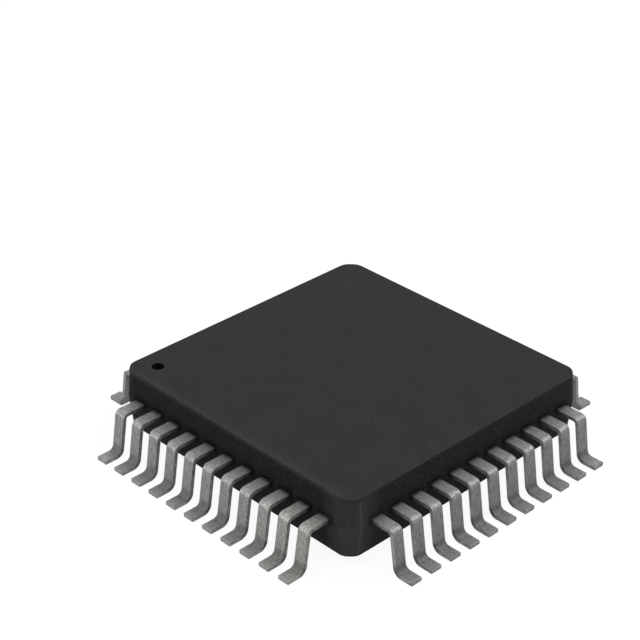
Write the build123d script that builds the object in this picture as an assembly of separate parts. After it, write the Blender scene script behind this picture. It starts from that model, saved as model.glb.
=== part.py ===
from build123d import *
import math
import os

# Integrated circuit in a quad flat package with gull-wing leads on all four sides.
# Millimetres. +Z is up, the feet of the leads stand on Z = 0 and the package is centred on the Z axis.
# Lead 1 is on the -X side at its +Y end, and the numbers run counter-clockwise seen from above.

# Leads and their pitch
leads_per_side = 11
lead_pitch = 0.80
lead_width = 0.40
sheet_thickness = 0.127
lead_reach = 1.60
shoulder_reach = 0.823
riser_lean_deg = 8.5
shoulder_bend_radius = 0.20
foot_bend_radius = 0.17

# Moulded body
corner_margin = 1.00
stand_off = 0.25
lower_mould_depth = 1.135
upper_mould_depth = 0.865
lower_draft_deg = 6.1
upper_draft_deg = 4.6
corner_cut = 0.37
corner_rounding = 0.50
edge_rounding = 0.08
mark_diameter = 0.40
mark_depth = 0.30
mark_taper_deg = 8.0
mark_inset_x = 0.82
mark_inset_y = 0.72

# Inner fingers of the leads
finger_straight = 0.40
finger_tip_width = 0.26
bond_land_length = 0.45
paddle_clearance = 0.25
tie_bar_clearance = 0.19

# Die paddle and tie bars
paddle_side = 5.20
paddle_downset = 0.20
tie_bar_width = 0.22
tie_bar_cover = 0.15
tie_bar_straight = 0.20
tie_bar_bend_radius = 0.10

# Die and the adhesive under it
die_side = 3.60
die_thickness = 0.30
die_attach_thickness = 0.03
die_attach_margin = 0.08

# Bond wires
wire_diameter = 0.030
wire_bend_radius = 0.050
loop_height = 0.20
loop_flat_length = 0.38
bond_pad_inset = 0.12
bond_pad_corner_margin = 0.30
ball_diameter = 0.075
ball_height = 0.020
stitch_length = 0.080
stitch_width = 0.060
stitch_height = 0.020
stitch_inset = 0.20

# Worked out from the sizes above
row_span = (leads_per_side - 1) * lead_pitch
body_half = row_span / 2 + corner_margin
parting_height = stand_off + lower_mould_depth
body_top = parting_height + upper_mould_depth
top_half = body_half - upper_mould_depth * math.tan(math.radians(upper_draft_deg))
sheet_top = parting_height + sheet_thickness / 2
paddle_half = paddle_side / 2
paddle_height = parting_height - paddle_downset
paddle_top = paddle_height + sheet_thickness / 2
finger_tip = paddle_half + paddle_clearance
finger_root = body_half - finger_straight
tip_row_half = finger_tip - (tie_bar_width / 2 + tie_bar_clearance) * math.sqrt(2)
finger_tip_pitch = (2 * tip_row_half - finger_tip_width) / (leads_per_side - 1)
die_top = paddle_top + die_attach_thickness + die_thickness
bond_pad_pitch = (die_side - 2 * bond_pad_corner_margin) / (leads_per_side - 1)


def place_in_row(index, pitch):
    return (index - (leads_per_side - 1) / 2) * pitch


def offset_corners(corners, distance):
    """Corners of a line that runs beside the given one, on its left where distance is positive."""
    runs = [Vector(*b) - Vector(*a) for a, b in zip(corners, corners[1:])]
    normals = [Vector(-run.Y, run.X).normalized() for run in runs]
    before = [normals[0]] + normals
    after = normals + [normals[-1]]
    shifted = []
    for corner, first, second in zip(corners, before, after):
        shift = (first + second) * (distance / (1 + first.dot(second)))
        shifted.append((corner[0] + shift.X, corner[1] + shift.Y))
    return shifted


def bent_strip(corners, radii, thickness):
    """Side view of a bent strip: corners and radii belong to its centre line."""
    turns = []
    for a, b, c in zip(corners, corners[1:], corners[2:]):
        turns.append((b[0] - a[0]) * (c[1] - b[1]) - (b[1] - a[1]) * (c[0] - b[0]))
    sides = []
    for distance in (thickness / 2, -thickness / 2):
        side_radii = [radius - math.copysign(distance, distance * turn)
                      for radius, turn in zip(radii, turns)]
        sides.append(FilletPolyline(*offset_corners(corners, distance), radius=side_radii))
    upper, lower = sides
    ends = [Line(upper @ 0, lower @ 0), Line(upper @ 1, lower @ 1)]
    return make_face(upper.edges() + lower.edges() + ends)


def lead_side_view():
    """Gull-wing outline of a lead, from inside the body out to the toe."""
    lean = math.tan(math.radians(riser_lean_deg))
    half = sheet_thickness / 2
    across = half / math.cos(math.radians(riser_lean_deg))
    upper_corner = body_half + shoulder_reach
    shoulder_corner = upper_corner + half * lean - across
    foot_corner = upper_corner + (sheet_top - half) * lean - across
    corners = [
        (finger_root, parting_height),
        (shoulder_corner, parting_height),
        (foot_corner, half),
        (body_half + lead_reach, half),
    ]
    radii = [shoulder_bend_radius - half, foot_bend_radius + half]
    return bent_strip(corners, radii, sheet_thickness)


def lead(index):
    """One lead of the +X row, with its inner finger, counted from the -Y end."""
    along = place_in_row(index, lead_pitch)
    tip_along = place_in_row(index, finger_tip_pitch)
    land_start = finger_tip + bond_land_length
    gull_wing = extrude(Plane.XZ * lead_side_view(), lead_width / 2, both=True)
    finger_outline = Polyline(
        (finger_root, along + lead_width / 2),
        (land_start, tip_along + finger_tip_width / 2),
        (finger_tip, tip_along + finger_tip_width / 2),
        (finger_tip, tip_along - finger_tip_width / 2),
        (land_start, tip_along - finger_tip_width / 2),
        (finger_root, along - lead_width / 2),
        close=True,
    )
    finger = extrude(Plane.XY.offset(parting_height) * make_face(finger_outline),
                     sheet_thickness / 2, both=True)
    return Pos(0, along, 0) * gull_wing + finger


def die_paddle():
    """Square paddle, set down below the leads, with a tie bar from each corner."""
    paddle = Pos(0, 0, paddle_height) * Box(paddle_side, paddle_side, sheet_thickness)
    paddle_corner = paddle_half * math.sqrt(2)
    ramp_start = paddle_corner + tie_bar_straight
    cut_face = body_half * math.sqrt(2) - corner_cut / math.sqrt(2)
    corners = [
        (paddle_half, paddle_height),
        (ramp_start, paddle_height),
        (ramp_start + paddle_downset, parting_height),
        (cut_face - tie_bar_cover, parting_height),
    ]
    radii = [tie_bar_bend_radius, tie_bar_bend_radius]
    bar = extrude(Plane.XZ * bent_strip(corners, radii, sheet_thickness), tie_bar_width / 2, both=True)
    return paddle + [Rot(0, 0, 45 + 90 * corner) * bar for corner in range(4)]


def die_attach():
    side = die_side + 2 * die_attach_margin
    return Pos(0, 0, paddle_top + die_attach_thickness / 2) * Box(side, side, die_attach_thickness)


def silicon_die():
    return Pos(0, 0, die_top - die_thickness / 2) * Box(die_side, die_side, die_thickness)


def bond_wire(index):
    """One bond wire of the +X row: ball on the die, loop, and stitch on the finger's land."""
    start = Vector(die_side / 2 - bond_pad_inset, place_in_row(index, bond_pad_pitch))
    stitch = Vector(finger_tip + stitch_inset, place_in_row(index, finger_tip_pitch))
    span = (stitch - start).length
    bearing = math.degrees(math.atan2(stitch.Y - start.Y, stitch.X - start.X))
    ball_middle = die_top + ball_height / 2
    loop_top = die_top + loop_height
    stitch_middle = span + stitch_length / 2
    wire_end_height = sheet_top + stitch_height
    path = Plane.XZ * FilletPolyline(
        (0, ball_middle),
        (0, loop_top),
        (loop_flat_length, loop_top),
        (span, wire_end_height),
        (stitch_middle, wire_end_height),
        radius=wire_bend_radius,
    )
    tube = sweep(Plane(path @ 0, z_dir=path % 0) * Circle(wire_diameter / 2), path=path)
    ball = Pos(0, 0, ball_middle) * Cylinder(ball_diameter / 2, ball_height)
    wedge = Pos(stitch_middle, 0, sheet_top + stitch_height / 2)
    wedge = wedge * Box(stitch_length, stitch_width, stitch_height)
    return Pos(start.X, start.Y, 0) * Rot(0, 0, bearing) * (tube + ball + wedge)


def body_section():
    """Outline of the body at the parting line: a square with its corners cut off."""
    section = Rectangle(2 * body_half, 2 * body_half)
    section = chamfer(section.vertices(), corner_cut)
    return fillet(section.vertices(), corner_rounding)


def lead_1_mark():
    """Round tapered recess in the top face."""
    top_radius = mark_diameter / 2
    floor_radius = top_radius - mark_depth * math.tan(math.radians(mark_taper_deg))
    return Pos(
        -top_half + mark_inset_x, top_half - mark_inset_y, body_top - mark_depth / 2
    ) * Cone(floor_radius, top_radius, mark_depth)


def moulded_body(embedded):
    """The moulding, with a close-fitting hollow for each piece that it was moulded round."""
    parting = Plane.XY.offset(parting_height)
    parting_below = Plane((0, 0, parting_height), z_dir=(0, 0, -1))
    upper = extrude(parting * body_section(), upper_mould_depth, taper=upper_draft_deg)
    lower = extrude(parting_below * body_section(), lower_mould_depth, taper=lower_draft_deg)
    block = upper + lower
    for face in (block.faces().sort_by(Axis.Z)[-1], block.faces().sort_by(Axis.Z)[0]):
        block = fillet(face.edges(), edge_rounding)
    return block - [lead_1_mark()] - embedded


def around(shape, side):
    """Turns a shape of the +X row to one of the four sides; side 0 is -X, where lead 1 is."""
    return Rot(0, 0, 180 + 90 * side) * shape


os.makedirs("parts", exist_ok=True)

row_of_leads = [lead(index) for index in range(leads_per_side)]
row_of_wires = [bond_wire(index) for index in range(leads_per_side)]
pieces = {"die_paddle": die_paddle(), "die_attach": die_attach(), "silicon_die": silicon_die()}
wires = []
for side in range(4):
    first = side * leads_per_side + 1
    for index, shape in enumerate(row_of_leads):
        pieces[f"lead_{first + index:02d}"] = around(shape, side)
    side_wires = [around(shape, side) for shape in row_of_wires]
    wires += side_wires
    pieces[f"bond_wires_{first:02d}_to_{first + leads_per_side - 1:02d}"] = Compound(side_wires)

inner_pieces = [shape for name, shape in pieces.items() if not name.startswith("bond_wires")] + wires
pieces["moulded_body"] = moulded_body(inner_pieces)

for name, shape in pieces.items():
    export_step(shape, f"parts/{name}.step")
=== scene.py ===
import math

import bpy
from bpy.props import FloatProperty, FloatVectorProperty, IntProperty, PointerProperty
from mathutils import Matrix, Vector


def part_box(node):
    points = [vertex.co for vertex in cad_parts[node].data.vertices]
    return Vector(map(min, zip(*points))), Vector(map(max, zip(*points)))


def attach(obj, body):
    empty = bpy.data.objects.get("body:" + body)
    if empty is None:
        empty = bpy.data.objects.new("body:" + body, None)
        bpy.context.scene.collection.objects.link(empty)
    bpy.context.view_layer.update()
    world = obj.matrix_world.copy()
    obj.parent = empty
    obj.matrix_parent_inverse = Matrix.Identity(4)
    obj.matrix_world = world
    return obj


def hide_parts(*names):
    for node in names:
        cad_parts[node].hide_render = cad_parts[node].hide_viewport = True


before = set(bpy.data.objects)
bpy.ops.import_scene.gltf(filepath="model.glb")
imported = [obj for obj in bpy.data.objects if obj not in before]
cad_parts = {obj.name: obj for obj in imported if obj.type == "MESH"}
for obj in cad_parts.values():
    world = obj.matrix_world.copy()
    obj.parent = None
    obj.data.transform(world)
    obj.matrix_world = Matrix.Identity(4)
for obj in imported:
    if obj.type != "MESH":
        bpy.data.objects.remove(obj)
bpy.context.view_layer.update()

bl_info = {
    "name": "Quad flat package",
    "version": (1, 0, 0),
    "blender": (4, 5, 0),
    "location": "3D View > Sidebar > Package",
    "description": "Finishes a surface-mount chip and its leads, and sets up a studio round it",
    "category": "Object",
}

MICRON = 0.000001
MILLIMETRE = 0.001

# Sizes that the frame gives, of the whole object, the body, the die and the rows of leads
lead_names = sorted(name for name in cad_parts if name.startswith("lead_"))
wire_names = sorted(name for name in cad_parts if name.startswith("bond_wires_"))
body_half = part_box("moulded_body")[1].x
body_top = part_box("moulded_body")[1].z
die_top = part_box("silicon_die")[1].z
lead_low, lead_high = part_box(lead_names[0])
finger_tip = -lead_high.x
toe = -lead_low.x
lead_top = lead_high.z
row_half = lead_high.y
lead_pitch = row_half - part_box(lead_names[1])[1].y

# Sizes of a lead that no box of the frame gives
lead_width = 0.40 * MILLIMETRE
sheet_thickness = 0.127 * MILLIMETRE

# Bands in which the look of the body changes: how far short of its walls or top each starts and ends
edge_band = (0.13 * MILLIMETRE, 0.06 * MILLIMETRE)
first_side_band = (0.45 * MILLIMETRE, 0.15 * MILLIMETRE)
first_wall_band = (0.30 * MILLIMETRE, 0.12 * MILLIMETRE)

# The same, short of the corner between the first two rows
corner_band = (0.90 * MILLIMETRE, 0.50 * MILLIMETRE)
low_corner_band = (1.15 * MILLIMETRE, 0.80 * MILLIMETRE)
beside_corner_band = (1.30 * MILLIMETRE, 0.90 * MILLIMETRE)

# The same, short of the top of the leads or of their toes
below_lead_band = (0.25 * MILLIMETRE, 0.0)
riser_top_band = (0.25 * MILLIMETRE, 0.12 * MILLIMETRE)
flank_top_band = (70 * MICRON, 8 * MICRON)
toe_band = (0.35 * MILLIMETRE, 0.10 * MILLIMETRE)

# Other limits: of the recess, of the risers and their broad sides, and of the plate inside the body
mark_from_wall = 0.30 * MILLIMETRE
mark_below_top = 15 * MICRON
riser_start_heights = (0.25 * MILLIMETRE, 0.45 * MILLIMETRE)
riser_from_wall = 0.50 * MILLIMETRE
broad_side_margin = 12 * MICRON
root_in_body = 20 * MICRON
plate_in_body = 50 * MICRON


# Sizes and colours that a user would change

class CompoundFinish(bpy.types.PropertyGroup):
    """Finish of the moulded body."""
    dark: FloatVectorProperty(
        name="Dark tone", description="Darkest tone of the moulding compound",
        subtype="COLOR", size=3, default=(0.0124, 0.0124, 0.0126))
    light: FloatVectorProperty(
        name="Light tone", description="Tone of the filler grains near the surface",
        subtype="COLOR", size=3, default=(0.0294, 0.0294, 0.0298))
    # Painted shade: this near-black tone fills the recess that marks lead 1, and the walls' painted shade
    # blends towards it.
    painted_shade_tone: FloatVectorProperty(
        name="Shade tone", description="Tone of the recess that marks lead 1, and of the deepest shade",
        subtype="COLOR", size=3, default=(0.002, 0.002, 0.002))
    # Painted shade on the walls. It is left off near the corner between the first two rows.
    painted_wall_shade: FloatProperty(
        name="Wall shade", description="How much darker the walls are, away from the lighter corner",
        subtype="FACTOR", default=0.44)
    # Painted shade: the wall of the first row is made darker again.
    painted_first_wall_shade: FloatProperty(
        name="First wall shade", description="How much darker again the wall of the first row of leads is",
        subtype="FACTOR", default=0.24)
    # Painted shade: a dark rim on the walls close round each lead, as far as the reach below.
    painted_root_shade: FloatProperty(
        name="Root shade", description="How much darker the walls are close round each lead",
        subtype="FACTOR", default=0.45)
    root_reach: FloatProperty(
        name="Root reach", description="How far from a lead the dark rim round it goes",
        subtype="DISTANCE", unit="LENGTH", precision=6, default=0.24 * MILLIMETRE)
    # Painted light: the corner between the first two rows is made lighter, and lighter again below the
    # leads.
    painted_corner_light: FloatProperty(
        name="Corner light", description="How much lighter the corner between the first two rows is",
        subtype="FACTOR", default=0.55)
    painted_low_corner_light: FloatProperty(
        name="Low corner light", description="How much lighter again that corner is below the leads",
        subtype="FACTOR", default=0.42)
    # Painted highlight: a pale vertical line down the near corner, with its place and width.
    painted_corner_highlight: FloatProperty(
        name="Corner highlight", description="How much paler the painted highlight line down that corner is",
        subtype="FACTOR", default=0.9)
    corner_highlight_place: FloatProperty(
        name="Highlight place", description="How far from the middle, towards the first row, that line lies",
        subtype="DISTANCE", unit="LENGTH", precision=6, default=4.55 * MILLIMETRE)
    corner_highlight_width: FloatProperty(
        name="Highlight width", description="How far that line fades out to each side",
        subtype="DISTANCE", unit="LENGTH", precision=6, default=0.08 * MILLIMETRE)
    # Painted light: a paler band along the top edge over the first row.
    painted_edge_light: FloatProperty(
        name="Painted edge light", description="How much paler the top edge over the first row is",
        subtype="FACTOR", default=0.30)
    grain_size: FloatProperty(
        name="Grain size", description="Width of one filler grain",
        subtype="DISTANCE", unit="LENGTH", precision=6, default=56 * MICRON)
    mottle_size: FloatProperty(
        name="Mottle size", description="Width of the faint cloudy patches",
        subtype="DISTANCE", unit="LENGTH", precision=6, default=1.1 * MILLIMETRE)
    relief: FloatProperty(
        name="Relief", description="Depth of the eroded mould texture",
        subtype="DISTANCE", unit="LENGTH", precision=6, default=3 * MICRON)


class LeadFinish(bpy.types.PropertyGroup):
    """Finish and edges of the leads."""
    edge_radius: FloatProperty(
        name="Edge radius", description="Rounding that stamping and plating leave on a lead's edges",
        subtype="DISTANCE", unit="LENGTH", precision=6, default=11 * MICRON)
    edge_steps: IntProperty(
        name="Edge steps", description="Number of faces across a rounded edge", default=2, min=1, max=4)
    tin_dark: FloatVectorProperty(
        name="Tin, dark", description="Tone of the tin plate in its streaks",
        subtype="COLOR", size=3, default=(0.028, 0.028, 0.028))
    tin_light: FloatVectorProperty(
        name="Tin, light", description="Tone of the tin plate between its streaks",
        subtype="COLOR", size=3, default=(0.330, 0.330, 0.330))
    tin_aged: FloatVectorProperty(
        name="Tin, aged", description="Light tone of the plate where it has aged",
        subtype="COLOR", size=3, default=(0.430, 0.430, 0.392))
    aged_place: FloatVectorProperty(
        name="Aged place", description="Middle of the patch where the plate has aged",
        subtype="TRANSLATION", unit="LENGTH", size=3, precision=5, default=(-0.0059, -0.0036, 0.0008))
    aged_reach: FloatProperty(
        name="Aged reach", description="How far that patch goes from its middle",
        subtype="DISTANCE", unit="LENGTH", precision=6, default=2.6 * MILLIMETRE)
    # Painted shade: the tin is darkened towards this tone at its root, on its flanks, in its foot bends and
    # on some risers.
    tin_painted_shade: FloatVectorProperty(
        name="Tin at root", description="Tone of the plate where the lead leaves the body, and in its other painted shade",
        subtype="COLOR", size=3, default=(0.02, 0.02, 0.02))
    # Painted shade at the lead's root, out to this length.
    painted_root_shade_length: FloatProperty(
        name="Root length", description="How far out from the body the darker root goes",
        subtype="DISTANCE", unit="LENGTH", precision=6, default=0.17 * MILLIMETRE)
    # Painted shade on the sides of the shoulders, near the body.
    painted_flank_shade: FloatProperty(
        name="Flank shade", description="How much darker the sides of the shoulders are, towards the body",
        subtype="FACTOR", default=0.62)
    flank_length: FloatProperty(
        name="Flank length", description="How far out from the body that shade goes",
        subtype="DISTANCE", unit="LENGTH", precision=6, default=0.66 * MILLIMETRE)
    foot_length: FloatProperty(
        name="Foot length", description="From the toe back to the bend between riser and foot",
        subtype="DISTANCE", unit="LENGTH", precision=6, default=0.58 * MILLIMETRE)
    foot_bend_height: FloatProperty(
        name="Foot bend height", description="Height of the hollow side of that bend",
        subtype="DISTANCE", unit="LENGTH", precision=6, default=0.17 * MILLIMETRE)
    # Painted shade in the hollow of the bend between riser and foot, where that bend is also rougher.
    bend_shade_size: FloatProperty(
        name="Bend shade size", description="How far the painted shade in the bend reaches",
        subtype="DISTANCE", unit="LENGTH", precision=6, default=0.30 * MILLIMETRE)
    painted_bend_shade: FloatProperty(
        name="Painted bend shade", description="How much darker the tin is in that painted shade",
        subtype="FACTOR", default=0.45)
    # Painted light and painted shade that differ between the first two rows of leads.
    painted_toe_light: FloatProperty(
        name="Toe light", description="How much lighter the toes of the first row are",
        subtype="FACTOR", default=0.20)
    painted_riser_shade: FloatProperty(
        name="Riser shade", description="How much duller the risers of the second row are",
        subtype="FACTOR", default=0.14)
    painted_side_shade: FloatProperty(
        name="Side shade", description="How much duller the narrow sides of the first row's risers are",
        subtype="FACTOR", default=0.28)
    painted_side_light: FloatProperty(
        name="Side light", description="How much lighter the narrow sides of the second row's risers are",
        subtype="FACTOR", default=0.25)
    silver: FloatVectorProperty(
        name="Silver", description="Tone of the silver spots under the bond wires",
        subtype="COLOR", size=3, default=(0.74, 0.73, 0.70))
    streak_width: FloatProperty(
        name="Streak width", description="Width of one fine streak along the lead",
        subtype="DISTANCE", unit="LENGTH", precision=6, default=23 * MICRON)
    streak_length: FloatProperty(
        name="Streak length", description="Length of one fine streak along the lead",
        subtype="DISTANCE", unit="LENGTH", precision=6, default=0.16 * MILLIMETRE)
    grain_size: FloatProperty(
        name="Grain size", description="Width of one grain of the plate",
        subtype="DISTANCE", unit="LENGTH", precision=6, default=25 * MICRON)
    silver_length: FloatProperty(
        name="Silver length", description="Length of the silvered end of each inner finger",
        subtype="DISTANCE", unit="LENGTH", precision=6, default=0.55 * MILLIMETRE)


class InnerFinish(bpy.types.PropertyGroup):
    """Finish of the pieces that are sealed in the body."""
    copper_dark: FloatVectorProperty(
        name="Copper, dark", description="Tone of the copper sheet in its rolling streaks",
        subtype="COLOR", size=3, default=(0.47, 0.22, 0.13))
    copper_light: FloatVectorProperty(
        name="Copper, light", description="Tone of the copper sheet between its streaks",
        subtype="COLOR", size=3, default=(0.72, 0.39, 0.26))
    adhesive: FloatVectorProperty(
        name="Adhesive", description="Tone of the resin of the adhesive",
        subtype="COLOR", size=3, default=(0.28, 0.28, 0.29))
    flakes: FloatVectorProperty(
        name="Flakes", description="Tone of the silver flakes in the adhesive",
        subtype="COLOR", size=3, default=(0.62, 0.62, 0.61))
    silicon: FloatVectorProperty(
        name="Silicon", description="Tone of the bare silicon",
        subtype="COLOR", size=3, default=(0.10, 0.105, 0.13))
    circuit: FloatVectorProperty(
        name="Circuit", description="Tone of the busiest blocks of the circuit on the die",
        subtype="COLOR", size=3, default=(0.30, 0.25, 0.33))
    gold: FloatVectorProperty(
        name="Gold", description="Tone of the bond wires",
        subtype="COLOR", size=3, default=(0.93, 0.66, 0.25))
    block_size: FloatProperty(
        name="Block size", description="Width of one block of the circuit",
        subtype="DISTANCE", unit="LENGTH", precision=6, default=0.45 * MILLIMETRE)


class StudioSettings(bpy.types.PropertyGroup):
    """Floor, lamps and camera."""
    floor_size: FloatProperty(
        name="Floor size", description="Side of the square floor",
        subtype="DISTANCE", unit="LENGTH", default=0.8)
    floor_tone: FloatProperty(
        name="Floor tone", description="Share of the light that the floor throws back at the object",
        subtype="FACTOR", default=0.78)
    shadow_depth: FloatProperty(
        name="Shadow depth", description="Share of the floor's look that its shadows can take away",
        subtype="FACTOR", default=0.07)
    world_level: FloatProperty(
        name="World level", description="Strength of the even light from all round", default=0.30)
    key_power: FloatProperty(
        name="Key power", description="Power of the large softbox overhead",
        subtype="POWER", unit="POWER", precision=4, default=0.70)
    key_height: FloatProperty(
        name="Key height", description="Height of the softbox overhead",
        subtype="DISTANCE", unit="LENGTH", default=0.22)
    key_size: FloatProperty(
        name="Key size", description="Side of the softbox overhead",
        subtype="DISTANCE", unit="LENGTH", default=0.42)
    side_power: FloatProperty(
        name="Side power", description="Power of the softbox that stands low on the left, behind the object",
        subtype="POWER", unit="POWER", precision=4, default=0.42)
    side_place: FloatVectorProperty(
        name="Side place", description="Where the softbox on the left stands",
        subtype="TRANSLATION", unit="LENGTH", size=3, default=(-0.19, 0.17, 0.065))
    side_size: FloatProperty(
        name="Side size", description="Side of the softbox on the left",
        subtype="DISTANCE", unit="LENGTH", default=0.20)
    front_power: FloatProperty(
        name="Front power", description="Power of the softbox on the right, in front of the object",
        subtype="POWER", unit="POWER", precision=4, default=0.20)
    front_place: FloatVectorProperty(
        name="Front place", description="Where the softbox on the right stands",
        subtype="TRANSLATION", unit="LENGTH", size=3, default=(0.145, -0.107, 0.172))
    front_size: FloatProperty(
        name="Front size", description="Side of the softbox on the right",
        subtype="DISTANCE", unit="LENGTH", default=0.08)
    azimuth: FloatProperty(
        name="Azimuth", description="Direction of the camera round the object, 0 looking along +Y",
        subtype="ANGLE", unit="ROTATION", default=math.radians(-44.276))
    elevation: FloatProperty(
        name="Elevation", description="Height of the camera above the horizon",
        subtype="ANGLE", unit="ROTATION", default=math.radians(30.224))
    roll: FloatProperty(
        name="Roll", description="Turn of the camera about its line of sight",
        subtype="ANGLE", unit="ROTATION", default=math.radians(0.255))
    distance: FloatProperty(
        name="Distance", description="Distance from the camera to the plane through the object's origin",
        subtype="DISTANCE", unit="LENGTH", precision=5, default=56.538 * MILLIMETRE)
    aim_right: FloatProperty(
        name="Aim right", description="How far right of the object's origin the camera aims",
        subtype="DISTANCE", unit="LENGTH", precision=5, default=-0.932 * MILLIMETRE)
    aim_up: FloatProperty(
        name="Aim up", description="How far above the object's origin the camera aims, in its view",
        subtype="DISTANCE", unit="LENGTH", precision=5, default=3.457 * MILLIMETRE)
    focal_length: FloatProperty(
        name="Focal length", description="Focal length on a sensor 36 mm wide, in millimetres",
        subtype="DISTANCE_CAMERA", default=102.46)


# Node trees

def add_node(tree, kind, **settings):
    """A node of that kind, with its settings, and its inputs' values given by name as an inputs dict."""
    node = tree.nodes.new(kind)
    values = settings.pop("inputs", {})
    for name, value in settings.items():
        setattr(node, name, value)
    for name, value in values.items():
        node.inputs[name].default_value = value
    return node


def calculate(tree, operation, first, second=None):
    """A maths node's output; each of first and second is a socket or a number."""
    node = add_node(tree, "ShaderNodeMath", operation=operation)
    for socket, value in zip(node.inputs, (first, second)):
        if isinstance(value, bpy.types.NodeSocket):
            tree.links.new(value, socket)
        elif value is not None:
            socket.default_value = value
    return node.outputs[0]


def product(tree, *factors):
    """All the factors multiplied."""
    result = factors[0]
    for factor in factors[1:]:
        result = calculate(tree, "MULTIPLY", result, factor)
    return result


def total(tree, *terms):
    """All the terms added up."""
    result = terms[0]
    for term in terms[1:]:
        result = calculate(tree, "ADD", result, term)
    return result


def ramp(tree, value, low, high, to_low=0.0, to_high=1.0):
    """The value taken from the range low to high into the range to_low to to_high, smoothly."""
    node = add_node(tree, "ShaderNodeMapRange", interpolation_type="SMOOTHSTEP", inputs={
        "From Min": low, "From Max": high, "To Min": to_low, "To Max": to_high})
    tree.links.new(value, node.inputs["Value"])
    return node.outputs["Result"]


def vary(tree, pattern, low, high):
    """A setting that goes smoothly from low, where the pattern is 0, to high, where it is 1."""
    return ramp(tree, pattern, 0.0, 1.0, low, high)


def rise(tree, value, edge, band):
    """A mask that goes smoothly from 0 to 1 over a band that lies short of that edge."""
    start, end = band
    return ramp(tree, value, edge - start, edge - end)


def fall(tree, value, edge, band):
    """A mask that goes smoothly from 1 to 0 over a band that lies short of that edge."""
    start, end = band
    return ramp(tree, value, edge - start, edge - end, 1.0, 0.0)


def near(tree, how_far, reach):
    """A mask that goes smoothly from 1, at no distance, to 0 at that reach."""
    return ramp(tree, how_far, 0.0, reach, 1.0, 0.0)


def inverse(tree, mask):
    """The mask with its 0 and 1 exchanged."""
    return calculate(tree, "SUBTRACT", 1.0, mask)


def distance(tree, first, second):
    """How far away a point is whose two coordinates are first and second."""
    squares = total(tree, product(tree, first, first), product(tree, second, second))
    return calculate(tree, "SQRT", squares)


def blend_tones(tree, share, first, second):
    """Colour between first and second; each of them is a socket or a tone of three numbers."""
    node = add_node(tree, "ShaderNodeMix", data_type="RGBA", clamp_factor=False)
    tree.links.new(share, node.inputs["Factor"])
    for socket, value in ((node.inputs[6], first), (node.inputs[7], second)):
        if isinstance(value, bpy.types.NodeSocket):
            tree.links.new(value, socket)
        else:
            socket.default_value = (*value, 1.0)
    return node.outputs[2]


def new_group(name, inputs, outputs):
    """An empty group of shader nodes with those sockets, and its input and output nodes."""
    group = bpy.data.node_groups.new(name, "ShaderNodeTree")
    for socket_name, kind, default in inputs:
        socket = group.interface.new_socket(socket_name, in_out="INPUT", socket_type=kind)
        if default is not None:
            socket.default_value = default
    for socket_name, kind in outputs:
        group.interface.new_socket(socket_name, in_out="OUTPUT", socket_type=kind)
    return group, add_node(group, "NodeGroupInput"), add_node(group, "NodeGroupOutput")


def build_grain_group():
    """Fine grain with faint cloudy patches over it, as on moulded and plated surfaces."""
    group, entry, result = new_group(
        "Surface grain",
        [("Vector", "NodeSocketVector", None), ("Grain Scale", "NodeSocketFloat", 20000.0),
         ("Mottle Scale", "NodeSocketFloat", 900.0)],
        [("Grain", "NodeSocketFloat"), ("Mottle", "NodeSocketFloat")])
    grain = add_node(group, "ShaderNodeTexNoise", inputs={"Detail": 3.0, "Roughness": 0.62})
    mottle = add_node(group, "ShaderNodeTexNoise", inputs={"Detail": 2.0, "Roughness": 0.5})
    for noise, scale, name in ((grain, "Grain Scale", "Grain"), (mottle, "Mottle Scale", "Mottle")):
        group.links.new(entry.outputs["Vector"], noise.inputs["Vector"])
        group.links.new(entry.outputs[scale], noise.inputs["Scale"])
        group.links.new(ramp(group, noise.outputs["Fac"], 0.28, 0.72), result.inputs[name])
    return group


def build_row_group():
    """Where a point lies in its row: across the leads' run, and how far out from the package's middle."""
    group, entry, result = new_group(
        "Row position",
        [("Vector", "NodeSocketVector", None)],
        [("Across", "NodeSocketFloat"), ("Reach", "NodeSocketFloat"), ("Height", "NodeSocketFloat")])
    parts = add_node(group, "ShaderNodeSeparateXYZ")
    group.links.new(entry.outputs["Vector"], parts.inputs["Vector"])
    x, y, z = parts.outputs
    x_size = calculate(group, "ABSOLUTE", x)
    y_size = calculate(group, "ABSOLUTE", y)
    in_y_row = calculate(group, "GREATER_THAN", y_size, x_size)
    in_x_row = inverse(group, in_y_row)
    across = total(group, product(group, in_y_row, x), product(group, in_x_row, y))
    group.links.new(across, result.inputs["Across"])
    group.links.new(calculate(group, "MAXIMUM", x_size, y_size), result.inputs["Reach"])
    group.links.new(z, result.inputs["Height"])
    return group


def build_streak_group():
    """Fine parallel streaks that run out along each lead, whichever side it is on."""
    group, entry, result = new_group(
        "Drawn streaks",
        [("Across", "NodeSocketFloat", None), ("Reach", "NodeSocketFloat", None),
         ("Height", "NodeSocketFloat", None), ("Width Scale", "NodeSocketFloat", 25000.0),
         ("Length Scale", "NodeSocketFloat", 2000.0)],
        [("Streaks", "NodeSocketFloat")])
    place = add_node(group, "ShaderNodeCombineXYZ")
    for socket, name, scale in ((place.inputs[0], "Across", "Width Scale"),
                                (place.inputs[1], "Reach", "Length Scale"),
                                (place.inputs[2], "Height", "Length Scale")):
        group.links.new(product(group, entry.outputs[name], entry.outputs[scale]), socket)
    noise = add_node(group, "ShaderNodeTexNoise", inputs={"Scale": 1.0, "Detail": 3.0, "Roughness": 0.6})
    group.links.new(place.outputs["Vector"], noise.inputs["Vector"])
    group.links.new(ramp(group, noise.outputs["Fac"], 0.25, 0.75), result.inputs["Streaks"])
    return group


def shared_group(name):
    """One of the groups that several materials use, built the first time that it is asked for."""
    builders = {"Surface grain": build_grain_group, "Row position": build_row_group,
                "Drawn streaks": build_streak_group}
    return bpy.data.node_groups.get(name) or builders[name]()


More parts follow.
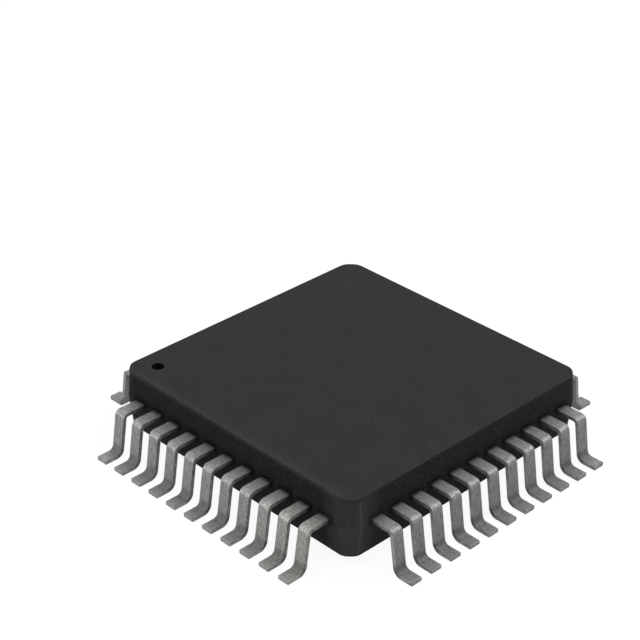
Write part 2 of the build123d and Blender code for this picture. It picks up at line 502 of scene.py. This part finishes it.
def new_material(name):
    """A material with nodes: its tree, its shader and the object's own coordinates."""
    material = bpy.data.materials.new(name)
    material.use_nodes = True
    tree = material.node_tree
    shader = tree.nodes["Principled BSDF"]
    place = add_node(tree, "ShaderNodeTexCoord").outputs["Object"]
    return material, tree, shader, place


def add_grain(tree, place, grain_size, mottle_size):
    """The grain group in a material; gives its grain and its mottle."""
    grain = add_node(tree, "ShaderNodeGroup", node_tree=shared_group("Surface grain"), inputs={
        "Grain Scale": 1 / grain_size, "Mottle Scale": 1 / mottle_size})
    tree.links.new(place, grain.inputs["Vector"])
    return grain.outputs["Grain"], grain.outputs["Mottle"]


def add_row_position(tree, place):
    """The row position group in a material; gives across, reach and height."""
    row = add_node(tree, "ShaderNodeGroup", node_tree=shared_group("Row position"))
    tree.links.new(place, row.inputs["Vector"])
    return row.outputs["Across"], row.outputs["Reach"], row.outputs["Height"]


def add_row_distances(tree, place):
    """How far a point lies from the middle towards the first row of leads, and towards the second."""
    parts = add_node(tree, "ShaderNodeSeparateXYZ")
    tree.links.new(place, parts.inputs["Vector"])
    return [calculate(tree, "MULTIPLY", parts.outputs[axis], -1.0) for axis in ("X", "Y")]


def add_streaks(tree, row, width, length):
    """The streak group in a material, from its place in the row."""
    streaks = add_node(tree, "ShaderNodeGroup", node_tree=shared_group("Drawn streaks"), inputs={
        "Width Scale": 1 / width, "Length Scale": 1 / length})
    for socket, value in zip(streaks.inputs, row):
        tree.links.new(value, socket)
    return streaks.outputs["Streaks"]


def add_bump(tree, shader, height, depth, strength=1.0):
    """Relief of that depth on the shader's normal."""
    bump = add_node(tree, "ShaderNodeBump", inputs={"Strength": strength, "Distance": depth})
    tree.links.new(height, bump.inputs["Height"])
    tree.links.new(bump.outputs["Normal"], shader.inputs["Normal"])


# Materials

def near_lead(tree, across, height, reach):
    """A mask that is 1 where a wall meets a lead and falls to 0 at that reach from it."""
    half_thickness = sheet_thickness / 2
    from_middle = calculate(tree, "PINGPONG", across, lead_pitch / 2)
    past_row = calculate(tree, "SUBTRACT", calculate(tree, "ABSOLUTE", across), row_half)
    past_side = calculate(tree, "SUBTRACT", from_middle, lead_width / 2)
    beside = calculate(tree, "MAXIMUM", past_side, past_row)
    beside = calculate(tree, "MAXIMUM", beside, 0.0)
    from_level = calculate(tree, "ABSOLUTE", calculate(tree, "SUBTRACT", height, lead_top - half_thickness))
    above = calculate(tree, "MAXIMUM", calculate(tree, "SUBTRACT", from_level, half_thickness), 0.0)
    return near(tree, distance(tree, beside, above), reach)


def mould_compound(finish):
    """Black epoxy with pale filler grains, matte from an eroded mould, with painted shade and painted light
    on it.
    """
    material, tree, shader, place = new_material("mould_compound_finish")
    grain, mottle = add_grain(tree, place, finish.grain_size, finish.mottle_size)
    across, reach, height = add_row_position(tree, place)
    to_first_row, to_second_row = add_row_distances(tree, place)
    to_corner = total(tree, to_first_row, to_second_row)
    corner = 2 * body_half

    # Masks: the recess, the walls, the top edge, and the corner between the first two rows
    inside_edges = calculate(tree, "LESS_THAN", reach, body_half - mark_from_wall)
    in_mark = product(tree, inside_edges, calculate(tree, "LESS_THAN", height, body_top - mark_below_top))
    on_wall = rise(tree, reach, body_half, edge_band)
    at_top = rise(tree, height, body_top, edge_band)
    below_edge = inverse(tree, at_top)
    on_first_side = rise(tree, to_first_row, body_half, first_side_band)
    on_first_wall = rise(tree, to_first_row, body_half, first_wall_band)
    on_corner = rise(tree, to_corner, corner, corner_band)
    off_corner = fall(tree, to_corner, corner, beside_corner_band)
    low_at_corner = product(tree, fall(tree, height, lead_top, below_lead_band),
                            rise(tree, to_corner, corner, low_corner_band))
    # Where the painted highlight line runs down the near corner.
    from_line = calculate(tree, "ABSOLUTE", calculate(tree, "SUBTRACT", to_first_row, finish.corner_highlight_place))
    on_line = product(tree, near(tree, from_line, finish.corner_highlight_width), on_corner)

    # Grain and painted light, then the painted shade of the walls and rows
    speckle = total(tree, product(tree, grain, 0.88), product(tree, mottle, 0.12))
    # Painted light along the top edge over the first row. It is left off at the near corner.
    painted_edge_band = product(tree, at_top, on_first_side, inverse(tree, on_corner), finish.painted_edge_light)
    # Painted light at the near corner, with more of it below the leads, and a painted highlight line down
    # the corner.
    paler = total(tree, product(tree, on_corner, finish.painted_corner_light),
                  product(tree, low_at_corner, finish.painted_low_corner_light),
                  product(tree, on_line, finish.painted_corner_highlight))
    lightened = total(tree, speckle, painted_edge_band, product(tree, below_edge, paler))
    compound = blend_tones(tree, lightened, finish.dark, finish.light)
    # Painted shade on the walls, varied with the grain.
    painted_wall_shade = vary(tree, grain, 1.5 * finish.painted_wall_shade, 0.5 * finish.painted_wall_shade)
    # Painted shade on the first row's wall. It is left off low down at the near corner.
    first_shade = product(tree, on_first_wall, below_edge, finish.painted_first_wall_shade,
                          inverse(tree, low_at_corner))
    # Painted shade in a rim round the root of each lead.
    root = product(tree, near_lead(tree, across, height, finish.root_reach), finish.painted_root_shade)
    # All the painted shade on the walls: along the rows, on the first row's wall and round each lead.
    shade = total(tree, product(tree, off_corner, painted_wall_shade), first_shade, root)
    compound = blend_tones(tree, product(tree, on_wall, shade), compound, finish.painted_shade_tone)

    # Painted shade: the recess that marks lead 1 is filled with the painted shade tone.
    tree.links.new(blend_tones(tree, in_mark, compound, finish.painted_shade_tone), shader.inputs["Base Color"])
    tree.links.new(vary(tree, grain, 0.70, 0.84), shader.inputs["Roughness"])
    shader.inputs["Specular IOR Level"].default_value = 0.07
    add_bump(tree, shader, grain, finish.relief, strength=0.55)
    return material


def on_risers(tree, reach, height):
    """A mask that is 1 on the risers of the leads, and 0 on their shoulders and feet."""
    above_foot = ramp(tree, height, *riser_start_heights)
    below_shoulder = fall(tree, height, lead_top, riser_top_band)
    out_of_body = calculate(tree, "GREATER_THAN", reach, body_half + riser_from_wall)
    return product(tree, above_foot, below_shoulder, out_of_body)


def age_tin(tree, finish, tin, tone, place, mottle):
    """The tin's tone with one patch where the plate has aged."""
    from_patch = add_node(tree, "ShaderNodeVectorMath", operation="DISTANCE")
    tree.links.new(place, from_patch.inputs[0])
    from_patch.inputs[1].default_value = finish.aged_place
    in_patch = near(tree, from_patch.outputs["Value"], finish.aged_reach)
    aged = product(tree, in_patch, vary(tree, mottle, 0.7, 1.0))
    return blend_tones(tree, aged, tin, blend_tones(tree, tone, finish.tin_dark, finish.tin_aged))


def paint_row_light_and_shade(tree, finish, tin, place, across, reach, height):
    """The tin's tone with painted light and painted shade that differ between the first two rows: toes,
    risers and their narrow sides.
    """
    to_first_row, to_second_row = add_row_distances(tree, place)
    almost = calculate(tree, "SUBTRACT", reach, MICRON)
    on_first_row = calculate(tree, "GREATER_THAN", to_first_row, almost)
    on_second_row = calculate(tree, "GREATER_THAN", to_second_row, almost)
    at_toe = rise(tree, reach, toe, toe_band)
    # Painted light on the toes of the first row.
    tin = blend_tones(tree, product(tree, on_first_row, at_toe, finish.painted_toe_light), tin, finish.tin_light)

    on_riser = on_risers(tree, reach, height)
    from_middle = calculate(tree, "PINGPONG", across, lead_pitch / 2)
    on_broad = calculate(tree, "LESS_THAN", from_middle, lead_width / 2 - broad_side_margin)
    on_narrow = inverse(tree, on_broad)
    # Painted shade on the second row's risers and on the narrow sides of the first row's risers.
    duller = total(tree, product(tree, on_second_row, on_broad, finish.painted_riser_shade),
                   product(tree, on_first_row, on_narrow, finish.painted_side_shade))
    tin = blend_tones(tree, product(tree, on_riser, duller), tin, finish.tin_painted_shade)
    # Painted light on the narrow sides of the second row's risers.
    lighter = product(tree, on_second_row, on_riser, on_narrow, finish.painted_side_light)
    return blend_tones(tree, lighter, tin, finish.tin_light)


def tin_plate(finish, inner):
    """Matte tin outside the body with painted shade and painted light on it, bare copper on the inner
    fingers and silver at their tips.
    """
    material, tree, shader, place = new_material("tin_plate_finish")
    row = add_row_position(tree, place)
    across, reach, height = row
    streaks = add_streaks(tree, row, finish.streak_width, finish.streak_length)
    grain, mottle = add_grain(tree, place, finish.grain_size, mottle_size=2.6 * MILLIMETRE)
    tone = total(tree, product(tree, streaks, 0.5), product(tree, grain, 0.5))
    tin = blend_tones(tree, tone, finish.tin_dark, finish.tin_light)
    tin = age_tin(tree, finish, tin, tone, place, mottle)
    tin = paint_row_light_and_shade(tree, finish, tin, place, across, reach, height)

    # Painted shade at the root, on the flanks of the shoulder and in the bend of the foot
    at_root = ramp(tree, reach, body_half - root_in_body, body_half + finish.painted_root_shade_length, 1.0, 0.0)
    tin = blend_tones(tree, at_root, tin, finish.tin_painted_shade)
    below_top = fall(tree, height, lead_top, flank_top_band)
    near_body = ramp(tree, reach, body_half, body_half + finish.flank_length, 1.0, 0.0)
    tin = blend_tones(tree, product(tree, below_top, near_body, finish.painted_flank_shade), tin, finish.tin_painted_shade)
    from_bend = distance(tree, calculate(tree, "SUBTRACT", reach, toe - finish.foot_length),
                         calculate(tree, "SUBTRACT", height, finish.foot_bend_height))
    # Painted shade in the hollow of the foot's bend.
    in_bend = near(tree, from_bend, finish.bend_shade_size)
    tin = blend_tones(tree, product(tree, in_bend, finish.painted_bend_shade), tin, finish.tin_painted_shade)

    # Copper and silver inside the body, tin outside it
    copper = blend_tones(tree, streaks, inner.copper_dark, inner.copper_light)
    silver_end = finger_tip + finish.silver_length
    inside = blend_tones(tree, calculate(tree, "GREATER_THAN", reach, silver_end), finish.silver, copper)
    outside = calculate(tree, "GREATER_THAN", reach, body_half - plate_in_body)
    tree.links.new(blend_tones(tree, outside, inside, tin), shader.inputs["Base Color"])

    roughness = vary(tree, tone, 0.55, 0.43)
    tree.links.new(total(tree, roughness, product(tree, in_bend, 0.25)), shader.inputs["Roughness"])
    shader.inputs["Metallic"].default_value = 0.65
    add_bump(tree, shader, tone, depth=1.6 * MICRON, strength=0.6)
    return material


def copper_sheet(finish):
    """Bare rolled copper alloy."""
    material, tree, shader, place = new_material("copper_sheet_finish")
    row = add_row_position(tree, place)
    streaks = add_streaks(tree, row, width=30 * MICRON, length=0.9 * MILLIMETRE)
    grain, mottle = add_grain(tree, place, grain_size=18 * MICRON, mottle_size=1.4 * MILLIMETRE)
    tone = total(tree, product(tree, streaks, 0.7), product(tree, mottle, 0.3))
    tree.links.new(blend_tones(tree, tone, finish.copper_dark, finish.copper_light),
                   shader.inputs["Base Color"])
    tree.links.new(vary(tree, grain, 0.30, 0.42), shader.inputs["Roughness"])
    shader.inputs["Metallic"].default_value = 1.0
    add_bump(tree, shader, streaks, depth=1 * MICRON, strength=0.5)
    return material


def silver_adhesive(finish):
    """Cured resin that is full of silver flakes."""
    material, tree, shader, place = new_material("silver_adhesive_finish")
    grain, mottle = add_grain(tree, place, grain_size=26 * MICRON, mottle_size=0.5 * MILLIMETRE)
    flakes = ramp(tree, grain, 0.45, 0.8)
    tree.links.new(blend_tones(tree, flakes, finish.adhesive, finish.flakes), shader.inputs["Base Color"])
    tree.links.new(product(tree, flakes, 0.7), shader.inputs["Metallic"])
    tree.links.new(vary(tree, mottle, 0.45, 0.6), shader.inputs["Roughness"])
    add_bump(tree, shader, grain, depth=2 * MICRON, strength=0.6)
    return material


def patterned_silicon(finish):
    """Polished silicon, with the blocks of its circuit on the top face."""
    material, tree, shader, place = new_material("patterned_silicon_finish")
    blocks = add_node(tree, "ShaderNodeTexVoronoi", distance="CHEBYCHEV", voronoi_dimensions="2D",
                      inputs={"Scale": 1 / finish.block_size, "Randomness": 0.8})
    rows = add_node(tree, "ShaderNodeTexVoronoi", distance="CHEBYCHEV", voronoi_dimensions="2D",
                    inputs={"Scale": 8 / finish.block_size, "Randomness": 0.3})
    shades = []
    for cells in (blocks, rows):
        tree.links.new(place, cells.inputs["Vector"])
        shade = add_node(tree, "ShaderNodeSeparateColor")
        tree.links.new(cells.outputs["Color"], shade.inputs["Color"])
        shades.append(shade.outputs["Red"])
    block_shade, row_shade = shades
    busy = product(tree, block_shade, ramp(tree, row_shade, 0.2, 0.9, 0.4, 1.0))
    mottle = add_grain(tree, place, grain_size=15 * MICRON, mottle_size=0.9 * MILLIMETRE)[1]
    height = add_row_position(tree, place)[2]
    on_top = calculate(tree, "GREATER_THAN", height, die_top - 2 * MICRON)
    pattern = product(tree, busy, on_top)
    tree.links.new(blend_tones(tree, pattern, finish.silicon, finish.circuit), shader.inputs["Base Color"])
    tree.links.new(vary(tree, mottle, 0.16, 0.24), shader.inputs["Roughness"])
    shader.inputs["Metallic"].default_value = 0.4
    add_bump(tree, shader, pattern, depth=0.6 * MICRON, strength=0.4)
    return material


def drawn_gold(finish):
    """Bright gold wire."""
    material, tree, shader, place = new_material("drawn_gold_finish")
    grain, mottle = add_grain(tree, place, grain_size=12 * MICRON, mottle_size=0.3 * MILLIMETRE)
    deep = tuple(0.8 * part for part in finish.gold)
    tree.links.new(blend_tones(tree, mottle, deep, finish.gold), shader.inputs["Base Color"])
    tree.links.new(vary(tree, grain, 0.16, 0.28), shader.inputs["Roughness"])
    shader.inputs["Metallic"].default_value = 1.0
    return material


def finish_node(name, material):
    """Gives a node of the frame a material in place of the plain one it came with."""
    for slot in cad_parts[name].material_slots:
        slot.material = material


# Modelling

def activate(piece):
    """Makes the piece the only selected object."""
    bpy.ops.object.select_all(action="DESELECT")
    piece.select_set(True)
    bpy.context.view_layer.objects.active = piece


def rounded_lead(name, finish, material):
    """A lead of the frame with its facets joined and its stamped edges rounded, in the same place."""
    piece = bpy.data.objects.new(f"plated_{name}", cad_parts[name].data.copy())
    bpy.context.scene.collection.objects.link(piece)
    activate(piece)
    bpy.ops.mesh.customdata_custom_splitnormals_clear()
    bpy.ops.object.mode_set(mode="EDIT")
    bpy.ops.mesh.select_all(action="SELECT")
    bpy.ops.mesh.remove_doubles(threshold=0.2 * MICRON)
    bpy.ops.mesh.dissolve_limited(angle_limit=math.radians(0.5))
    bpy.ops.object.mode_set(mode="OBJECT")
    bpy.ops.object.shade_smooth_by_angle(angle=math.radians(20))
    edges = piece.modifiers.new("Rounded edges", "BEVEL")
    edges.width = finish.edge_radius
    edges.segments = finish.edge_steps
    edges.limit_method = "ANGLE"
    edges.angle_limit = math.radians(40)
    edges.harden_normals = True
    bpy.ops.object.modifier_apply(modifier=edges.name)
    piece.data.materials.clear()
    piece.data.materials.append(material)
    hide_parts(name)
    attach(piece, "root")


class PACKAGE_OT_finish_body(bpy.types.Operator):
    """Give the moulded body its matte black compound"""
    bl_idname = "package.finish_body"
    bl_label = "Finish moulded body"

    def execute(self, context):
        finish_node("moulded_body", mould_compound(context.scene.compound_finish))
        return {"FINISHED"}


class PACKAGE_OT_plate_leads(bpy.types.Operator):
    """Put a plated lead with rounded edges in the place of each lead of the frame"""
    bl_idname = "package.plate_leads"
    bl_label = "Plate leads"

    def execute(self, context):
        scene = context.scene
        material = tin_plate(scene.lead_finish, scene.inner_finish)
        for name in lead_names:
            rounded_lead(name, scene.lead_finish, material)
        return {"FINISHED"}


class PACKAGE_OT_finish_inside(bpy.types.Operator):
    """Give the paddle, the adhesive, the die and the bond wires their own finishes"""
    bl_idname = "package.finish_inside"
    bl_label = "Finish inner pieces"

    def execute(self, context):
        finish = context.scene.inner_finish
        finish_node("die_paddle", copper_sheet(finish))
        finish_node("die_attach", silver_adhesive(finish))
        finish_node("silicon_die", patterned_silicon(finish))
        gold = drawn_gold(finish)
        for name in wire_names:
            finish_node(name, gold)
        return {"FINISHED"}


# Stage

def add_seen(tree):
    """1 on the rays that show a surface or the world as itself, and 0 on those that only carry its light."""
    ray = add_node(tree, "ShaderNodeLightPath").outputs
    mirrored = calculate(tree, "MAXIMUM", ray["Is Glossy Ray"], ray["Is Transmission Ray"])
    return calculate(tree, "MAXIMUM", ray["Is Camera Ray"], mirrored)


def floor_material(settings):
    """Floor that lights the object as pale paper does, and looks white where no shadow falls on it."""
    material, tree, shader, place = new_material("floor_finish")
    mottle = add_grain(tree, place, grain_size=0.4 * MILLIMETRE, mottle_size=30 * MILLIMETRE)[1]
    seen = add_seen(tree)
    tone = total(tree, product(tree, seen, settings.shadow_depth - settings.floor_tone), settings.floor_tone)
    tone = product(tree, tone, vary(tree, mottle, 0.98, 1.0))
    tree.links.new(tone, shader.inputs["Base Color"])
    shader.inputs["Roughness"].default_value = 0.9
    shader.inputs["Specular IOR Level"].default_value = 0.0
    shader.inputs["Emission Color"].default_value = (1, 1, 1, 1)
    tree.links.new(product(tree, seen, 1 - settings.shadow_depth), shader.inputs["Emission Strength"])
    return material


def studio_world(settings):
    """Even light from all round, with a white look of its own."""
    world = bpy.data.worlds.new("studio_world")
    world.use_nodes = True
    tree = world.node_tree
    background = tree.nodes["Background"]
    background.inputs["Color"].default_value = (1, 1, 1, 1)
    level = total(tree, product(tree, add_seen(tree), 1 - settings.world_level), settings.world_level)
    tree.links.new(level, background.inputs["Strength"])
    return world


def add_softbox(name, location, size, power):
    """A square lamp that points at the package's middle."""
    bpy.ops.object.light_add(type="AREA", location=location)
    lamp = bpy.context.object
    lamp.name = name
    lamp.data.shape = "SQUARE"
    lamp.data.size = size
    lamp.data.energy = power
    lamp.rotation_euler = (-Vector(location)).to_track_quat("-Z", "Y").to_euler()


def add_camera(settings):
    """The camera, placed by its direction, its distance and how far beside the origin it aims."""
    azimuth, elevation = settings.azimuth, settings.elevation
    back = Vector((math.sin(azimuth) * math.cos(elevation),
                   -math.cos(azimuth) * math.cos(elevation), math.sin(elevation)))
    level_right = Vector((math.cos(azimuth), math.sin(azimuth), 0))
    level_up = back.cross(level_right)
    right = math.cos(settings.roll) * level_right + math.sin(settings.roll) * level_up
    up = math.cos(settings.roll) * level_up - math.sin(settings.roll) * level_right
    bpy.ops.object.camera_add()
    camera = bpy.context.object
    camera.name = "studio_camera"
    axes = Matrix((right, up, back)).transposed()
    place = settings.aim_right * right + settings.aim_up * up + settings.distance * back
    camera.matrix_world = Matrix.Translation(place) @ axes.to_4x4()
    camera.data.lens = settings.focal_length
    camera.data.clip_start = 0.1 * settings.distance
    camera.data.clip_end = 100 * settings.distance
    bpy.context.scene.camera = camera


class PACKAGE_OT_set_stage(bpy.types.Operator):
    """Set up the floor, the lamps, the even light and the camera"""
    bl_idname = "package.set_stage"
    bl_label = "Set stage"

    def execute(self, context):
        scene = context.scene
        settings = scene.studio_settings
        bpy.ops.object.select_all(action="DESELECT")
        bpy.ops.mesh.primitive_plane_add(size=settings.floor_size)
        floor = context.object
        floor.name = "studio_floor"
        floor.data.materials.append(floor_material(settings))
        add_softbox("key_softbox", (0, 0, settings.key_height), settings.key_size, settings.key_power)
        add_softbox("side_softbox", settings.side_place, settings.side_size, settings.side_power)
        add_softbox("front_softbox", settings.front_place, settings.front_size, settings.front_power)
        scene.world = studio_world(settings)
        scene.view_settings.view_transform = "Standard"
        add_camera(settings)
        return {"FINISHED"}


class PACKAGE_PT_sidebar(bpy.types.Panel):
    """Lists the steps that finish the package"""
    bl_label = "Package"
    bl_idname = "PACKAGE_PT_sidebar"
    bl_space_type = "VIEW_3D"
    bl_region_type = "UI"
    bl_category = "Package"

    def draw(self, context):
        for operator in operators:
            self.layout.operator(operator.bl_idname)
        for name in settings_groups:
            group = getattr(context.scene, name)
            box = self.layout.box()
            for key in group.__annotations__:
                box.prop(group, key)


settings_groups = {
    "compound_finish": CompoundFinish,
    "lead_finish": LeadFinish,
    "inner_finish": InnerFinish,
    "studio_settings": StudioSettings,
}
operators = (PACKAGE_OT_finish_body, PACKAGE_OT_plate_leads, PACKAGE_OT_finish_inside, PACKAGE_OT_set_stage)


def register():
    for name, group in settings_groups.items():
        bpy.utils.register_class(group)
        setattr(bpy.types.Scene, name, PointerProperty(type=group))
    for each in (*operators, PACKAGE_PT_sidebar):
        bpy.utils.register_class(each)


def unregister():
    for each in (*operators, PACKAGE_PT_sidebar):
        bpy.utils.unregister_class(each)
    for name, group in settings_groups.items():
        delattr(bpy.types.Scene, name)
        bpy.utils.unregister_class(group)


def main():
    register()
    bpy.ops.package.finish_body()
    bpy.ops.package.plate_leads()
    bpy.ops.package.finish_inside()
    bpy.ops.package.set_stage()


if __name__ == "__main__":
    main()
